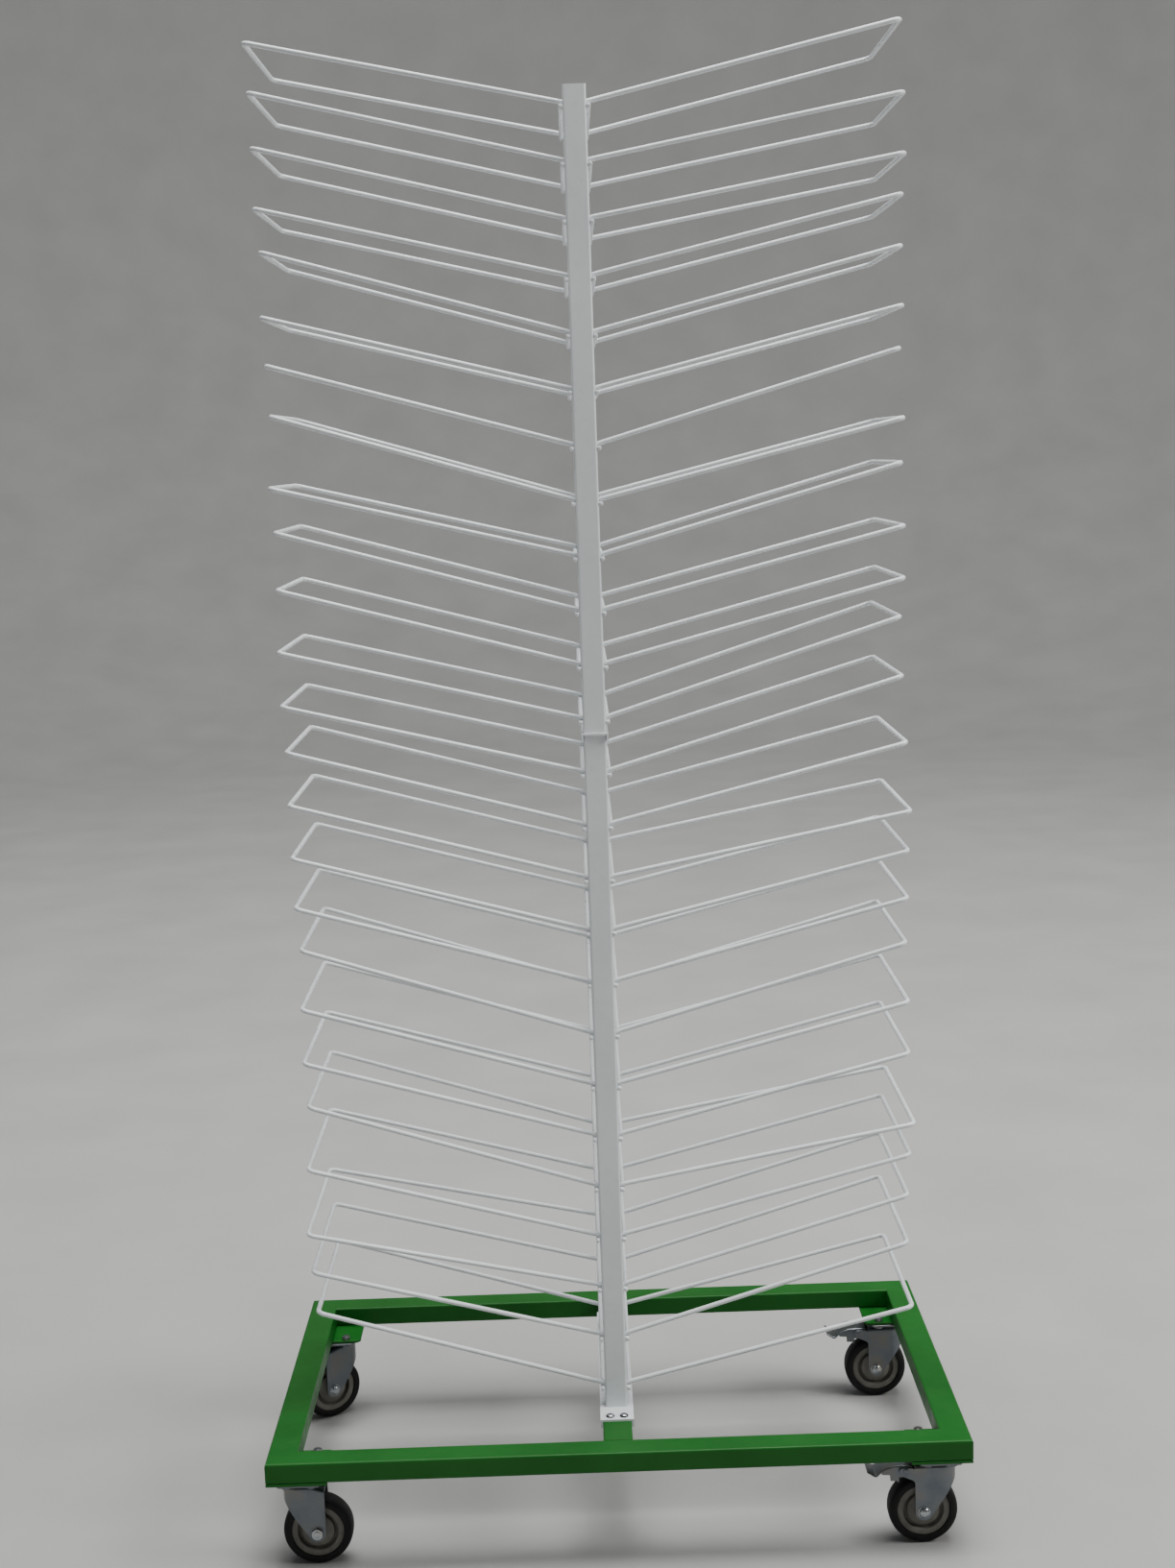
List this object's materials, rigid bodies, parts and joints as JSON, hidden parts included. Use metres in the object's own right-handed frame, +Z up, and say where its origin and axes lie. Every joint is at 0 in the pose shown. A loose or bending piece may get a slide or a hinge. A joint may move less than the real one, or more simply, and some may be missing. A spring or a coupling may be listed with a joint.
{
  "type": "mobile wire drying rack",
  "caption": "Mobile double-sided drying rack: green tube base on four swivel casters, white two-part ladder, tilting wire shelves stacked on both sides.",
  "frame": {"origin": "on the floor under the middle of the whole rack, wheels resting on z = 0", "axes": "+Z up; +X to the right, along the base frame's long side; +Y to the back, along the shelf hinges"},
  "size_m": [1.0216, 0.6, 2.1314],
  "materials": {
    "green_paint": "satin green powder coat",
    "white_paint": "satin white powder coat",
    "zinc": "bright zinc plate",
    "tyre_rubber": "matt black rubber",
    "hub_plastic": "grey-beige moulded plastic"
  },
  "bodies": {
    "rack": {"base_frame": "green_paint", "corner_plates": "green_paint", "foot_channel": "white_paint", "lower_posts": "white_paint", "upper_posts": "white_paint", "joint_channel": "white_paint", "joint_spigots": "white_paint", "lower_rest_bars": "white_paint", "upper_rest_bars": "white_paint", "left_lower_shelves": "white_paint", "right_lower_shelves": "white_paint", "foot_screws": "zinc", "caster_plates": "zinc", "caster_bolts": "zinc"},
    "front_left_caster": {"front_left_fork": "zinc"},
    "front_left_wheel": {"front_left_tyre": "tyre_rubber", "front_left_hub": "hub_plastic"},
    "front_right_caster": {"front_right_fork": "zinc"},
    "front_right_wheel": {"front_right_tyre": "tyre_rubber", "front_right_hub": "hub_plastic"},
    "front_brake": {"front_brake_pedal": "zinc"},
    "rear_left_caster": {"rear_left_fork": "zinc"},
    "rear_left_wheel": {"rear_left_tyre": "tyre_rubber", "rear_left_hub": "hub_plastic"},
    "rear_right_caster": {"rear_right_fork": "zinc"},
    "rear_right_wheel": {"rear_right_tyre": "tyre_rubber", "rear_right_hub": "hub_plastic"},
    "rear_brake": {"rear_brake_pedal": "zinc"},
    "left_shelf_01": {"left_shelf_01": "white_paint"},
    "left_shelf_02": {"left_shelf_02": "white_paint"},
    "left_shelf_03": {"left_shelf_03": "white_paint"},
    "left_shelf_04": {"left_shelf_04": "white_paint"},
    "left_shelf_05": {"left_shelf_05": "white_paint"},
    "left_shelf_06": {"left_shelf_06": "white_paint"},
    "left_shelf_07": {"left_shelf_07": "white_paint"},
    "left_shelf_08": {"left_shelf_08": "white_paint"},
    "left_shelf_09": {"left_shelf_09": "white_paint"},
    "left_shelf_10": {"left_shelf_10": "white_paint"},
    "left_shelf_11": {"left_shelf_11": "white_paint"},
    "left_shelf_12": {"left_shelf_12": "white_paint"},
    "left_shelf_13": {"left_shelf_13": "white_paint"},
    "left_shelf_14": {"left_shelf_14": "white_paint"},
    "left_shelf_15": {"left_shelf_15": "white_paint"},
    "left_shelf_16": {"left_shelf_16": "white_paint"},
    "right_shelf_01": {"right_shelf_01": "white_paint"},
    "right_shelf_02": {"right_shelf_02": "white_paint"},
    "right_shelf_03": {"right_shelf_03": "white_paint"},
    "right_shelf_04": {"right_shelf_04": "white_paint"},
    "right_shelf_05": {"right_shelf_05": "white_paint"},
    "right_shelf_06": {"right_shelf_06": "white_paint"},
    "right_shelf_07": {"right_shelf_07": "white_paint"},
    "right_shelf_08": {"right_shelf_08": "white_paint"},
    "right_shelf_09": {"right_shelf_09": "white_paint"},
    "right_shelf_10": {"right_shelf_10": "white_paint"},
    "right_shelf_11": {"right_shelf_11": "white_paint"},
    "right_shelf_12": {"right_shelf_12": "white_paint"},
    "right_shelf_13": {"right_shelf_13": "white_paint"},
    "right_shelf_14": {"right_shelf_14": "white_paint"},
    "right_shelf_15": {"right_shelf_15": "white_paint"},
    "right_shelf_16": {"right_shelf_16": "white_paint"}
  },
  "joints": [
    {"name": "front_left_swivel", "type": "hinge", "parent": "rack", "child": "front_left_caster", "pos_m": [-0.455, -0.245, 0.12], "axis": [0, 0, 1], "continuous": true},
    {"name": "front_left_roll", "type": "hinge", "parent": "front_left_caster", "child": "front_left_wheel", "pos_m": [-0.435, -0.245, 0.05], "axis": [0, 1, 0], "continuous": true},
    {"name": "front_right_swivel", "type": "hinge", "parent": "rack", "child": "front_right_caster", "pos_m": [0.455, -0.245, 0.12], "axis": [0, 0, 1], "continuous": true},
    {"name": "front_right_roll", "type": "hinge", "parent": "front_right_caster", "child": "front_right_wheel", "pos_m": [0.435, -0.245, 0.05], "axis": [0, -1, 0], "continuous": true},
    {"name": "front_brake_press", "type": "hinge", "parent": "front_right_caster", "child": "front_brake", "pos_m": [0.409, -0.245, 0.1135], "axis": [0, -1, 0], "range_deg": [0, 12]},
    {"name": "rear_left_swivel", "type": "hinge", "parent": "rack", "child": "rear_left_caster", "pos_m": [-0.455, 0.245, 0.12], "axis": [0, 0, 1], "continuous": true},
    {"name": "rear_left_roll", "type": "hinge", "parent": "rear_left_caster", "child": "rear_left_wheel", "pos_m": [-0.47232, 0.235, 0.05], "axis": [0.5, -0.866, 0], "continuous": true},
    {"name": "rear_right_swivel", "type": "hinge", "parent": "rack", "child": "rear_right_caster", "pos_m": [0.455, 0.245, 0.12], "axis": [0, 0, 1], "continuous": true},
    {"name": "rear_right_roll", "type": "hinge", "parent": "rear_right_caster", "child": "rear_right_wheel", "pos_m": [0.435, 0.245, 0.05], "axis": [0, -1, 0], "continuous": true},
    {"name": "rear_brake_press", "type": "hinge", "parent": "rear_right_caster", "child": "rear_brake", "pos_m": [0.409, 0.245, 0.1135], "axis": [0, -1, 0], "range_deg": [0, 12]},
    {"name": "left_fold_01", "type": "hinge", "parent": "rack", "child": "left_shelf_01", "pos_m": [-0.01525, 0, 2.03], "axis": [0, 1, 0], "range_deg": [0, 48]},
    {"name": "left_fold_02", "type": "hinge", "parent": "rack", "child": "left_shelf_02", "pos_m": [-0.01525, 0, 1.954], "axis": [0, 1, 0], "range_deg": [0, 46.51]},
    {"name": "left_fold_03", "type": "hinge", "parent": "rack", "child": "left_shelf_03", "pos_m": [-0.01525, 0, 1.878], "axis": [0, 1, 0], "range_deg": [0, 46.01]},
    {"name": "left_fold_04", "type": "hinge", "parent": "rack", "child": "left_shelf_04", "pos_m": [-0.01525, 0, 1.802], "axis": [0, 1, 0], "range_deg": [0, 46.51]},
    {"name": "left_fold_05", "type": "hinge", "parent": "rack", "child": "left_shelf_05", "pos_m": [-0.01525, 0, 1.726], "axis": [0, 1, 0], "range_deg": [0, 44.01]},
    {"name": "left_fold_06", "type": "hinge", "parent": "rack", "child": "left_shelf_06", "pos_m": [-0.01525, 0, 1.65], "axis": [0, 1, 0], "range_deg": [0, 45.51]},
    {"name": "left_fold_07", "type": "hinge", "parent": "rack", "child": "left_shelf_07", "pos_m": [-0.01525, 0, 1.574], "axis": [0, 1, 0], "range_deg": [0, 44.01]},
    {"name": "left_fold_08", "type": "hinge", "parent": "rack", "child": "left_shelf_08", "pos_m": [-0.01525, 0, 1.498], "axis": [0, 1, 0], "range_deg": [0, 43.01]},
    {"name": "left_fold_09", "type": "hinge", "parent": "rack", "child": "left_shelf_09", "pos_m": [-0.01525, 0, 1.422], "axis": [0, 1, 0], "range_deg": [0, 46.01]},
    {"name": "left_fold_10", "type": "hinge", "parent": "rack", "child": "left_shelf_10", "pos_m": [-0.01525, 0, 1.346], "axis": [0, 1, 0], "range_deg": [0, 44.01]},
    {"name": "left_fold_11", "type": "hinge", "parent": "rack", "child": "left_shelf_11", "pos_m": [-0.01525, 0, 1.27], "axis": [0, 1, 0], "range_deg": [0, 44.51]},
    {"name": "left_fold_12", "type": "hinge", "parent": "rack", "child": "left_shelf_12", "pos_m": [-0.01525, 0, 1.194], "axis": [0, 1, 0], "range_deg": [0, 46.01]},
    {"name": "left_fold_13", "type": "hinge", "parent": "rack", "child": "left_shelf_13", "pos_m": [-0.01525, 0, 1.118], "axis": [0, 1, 0], "range_deg": [0, 46.01]},
    {"name": "left_fold_14", "type": "hinge", "parent": "rack", "child": "left_shelf_14", "pos_m": [-0.01525, 0, 1.042], "axis": [0, 1, 0], "range_deg": [0, 44.51]},
    {"name": "left_fold_15", "type": "hinge", "parent": "rack", "child": "left_shelf_15", "pos_m": [-0.01525, 0, 0.966], "axis": [0, 1, 0], "range_deg": [0, 44.51]},
    {"name": "left_fold_16", "type": "hinge", "parent": "rack", "child": "left_shelf_16", "pos_m": [-0.01525, 0, 0.89], "axis": [0, 1, 0], "range_deg": [0, 44.51]},
    {"name": "right_fold_01", "type": "hinge", "parent": "rack", "child": "right_shelf_01", "pos_m": [0.01525, 0, 2.03], "axis": [0, -1, 0], "range_deg": [0, 47.5]},
    {"name": "right_fold_02", "type": "hinge", "parent": "rack", "child": "right_shelf_02", "pos_m": [0.01525, 0, 1.954], "axis": [0, -1, 0], "range_deg": [0, 50.01]},
    {"name": "right_fold_03", "type": "hinge", "parent": "rack", "child": "right_shelf_03", "pos_m": [0.01525, 0, 1.878], "axis": [0, -1, 0], "range_deg": [0, 50.51]},
    {"name": "right_fold_04", "type": "hinge", "parent": "rack", "child": "right_shelf_04", "pos_m": [0.01525, 0, 1.802], "axis": [0, -1, 0], "range_deg": [0, 47.51]},
    {"name": "right_fold_05", "type": "hinge", "parent": "rack", "child": "right_shelf_05", "pos_m": [0.01525, 0, 1.726], "axis": [0, -1, 0], "range_deg": [0, 46.51]},
    {"name": "right_fold_06", "type": "hinge", "parent": "rack", "child": "right_shelf_06", "pos_m": [0.01525, 0, 1.65], "axis": [0, -1, 0], "range_deg": [0, 47.01]},
    {"name": "right_fold_07", "type": "hinge", "parent": "rack", "child": "right_shelf_07", "pos_m": [0.01525, 0, 1.574], "axis": [0, -1, 0], "range_deg": [0, 44.51]},
    {"name": "right_fold_08", "type": "hinge", "parent": "rack", "child": "right_shelf_08", "pos_m": [0.01525, 0, 1.498], "axis": [0, -1, 0], "range_deg": [0, 47.01]},
    {"name": "right_fold_09", "type": "hinge", "parent": "rack", "child": "right_shelf_09", "pos_m": [0.01525, 0, 1.422], "axis": [0, -1, 0], "range_deg": [0, 45.01]},
    {"name": "right_fold_10", "type": "hinge", "parent": "rack", "child": "right_shelf_10", "pos_m": [0.01525, 0, 1.346], "axis": [0, -1, 0], "range_deg": [0, 46.51]},
    {"name": "right_fold_11", "type": "hinge", "parent": "rack", "child": "right_shelf_11", "pos_m": [0.01525, 0, 1.27], "axis": [0, -1, 0], "range_deg": [0, 46.01]},
    {"name": "right_fold_12", "type": "hinge", "parent": "rack", "child": "right_shelf_12", "pos_m": [0.01525, 0, 1.194], "axis": [0, -1, 0], "range_deg": [0, 43.01]},
    {"name": "right_fold_13", "type": "hinge", "parent": "rack", "child": "right_shelf_13", "pos_m": [0.01525, 0, 1.118], "axis": [0, -1, 0], "range_deg": [0, 44.01]},
    {"name": "right_fold_14", "type": "hinge", "parent": "rack", "child": "right_shelf_14", "pos_m": [0.01525, 0, 1.042], "axis": [0, -1, 0], "range_deg": [0, 46.51]},
    {"name": "right_fold_15", "type": "hinge", "parent": "rack", "child": "right_shelf_15", "pos_m": [0.01525, 0, 0.966], "axis": [0, -1, 0], "range_deg": [0, 49.51]},
    {"name": "right_fold_16", "type": "hinge", "parent": "rack", "child": "right_shelf_16", "pos_m": [0.01525, 0, 0.89], "axis": [0, -1, 0], "range_deg": [0, 47.01]}
  ],
  "couplings": [
    {"joint": "left_fold_02", "follows": "left_fold_01", "ratio": 0.96875},
    {"joint": "left_fold_03", "follows": "left_fold_01", "ratio": 0.95833},
    {"joint": "left_fold_04", "follows": "left_fold_01", "ratio": 0.96875},
    {"joint": "left_fold_05", "follows": "left_fold_01", "ratio": 0.91667},
    {"joint": "left_fold_06", "follows": "left_fold_01", "ratio": 0.94792},
    {"joint": "left_fold_07", "follows": "left_fold_01", "ratio": 0.91667},
    {"joint": "left_fold_08", "follows": "left_fold_01", "ratio": 0.89583},
    {"joint": "left_fold_09", "follows": "left_fold_01", "ratio": 0.95833},
    {"joint": "left_fold_10", "follows": "left_fold_01", "ratio": 0.91667},
    {"joint": "left_fold_11", "follows": "left_fold_01", "ratio": 0.92708},
    {"joint": "left_fold_12", "follows": "left_fold_01", "ratio": 0.95833},
    {"joint": "left_fold_13", "follows": "left_fold_01", "ratio": 0.95833},
    {"joint": "left_fold_14", "follows": "left_fold_01", "ratio": 0.92708},
    {"joint": "left_fold_15", "follows": "left_fold_01", "ratio": 0.92708},
    {"joint": "left_fold_16", "follows": "left_fold_01", "ratio": 0.92708},
    {"joint": "right_fold_02", "follows": "right_fold_01", "ratio": 1.0526},
    {"joint": "right_fold_03", "follows": "right_fold_01", "ratio": 1.0632},
    {"joint": "right_fold_04", "follows": "right_fold_01", "ratio": 1},
    {"joint": "right_fold_05", "follows": "right_fold_01", "ratio": 0.97895},
    {"joint": "right_fold_06", "follows": "right_fold_01", "ratio": 0.98947},
    {"joint": "right_fold_07", "follows": "right_fold_01", "ratio": 0.93684},
    {"joint": "right_fold_08", "follows": "right_fold_01", "ratio": 0.98947},
    {"joint": "right_fold_09", "follows": "right_fold_01", "ratio": 0.94737},
    {"joint": "right_fold_10", "follows": "right_fold_01", "ratio": 0.97895},
    {"joint": "right_fold_11", "follows": "right_fold_01", "ratio": 0.96842},
    {"joint": "right_fold_12", "follows": "right_fold_01", "ratio": 0.90526},
    {"joint": "right_fold_13", "follows": "right_fold_01", "ratio": 0.92632},
    {"joint": "right_fold_14", "follows": "right_fold_01", "ratio": 0.97895},
    {"joint": "right_fold_15", "follows": "right_fold_01", "ratio": 1.0421},
    {"joint": "right_fold_16", "follows": "right_fold_01", "ratio": 0.98947}
  ]
}
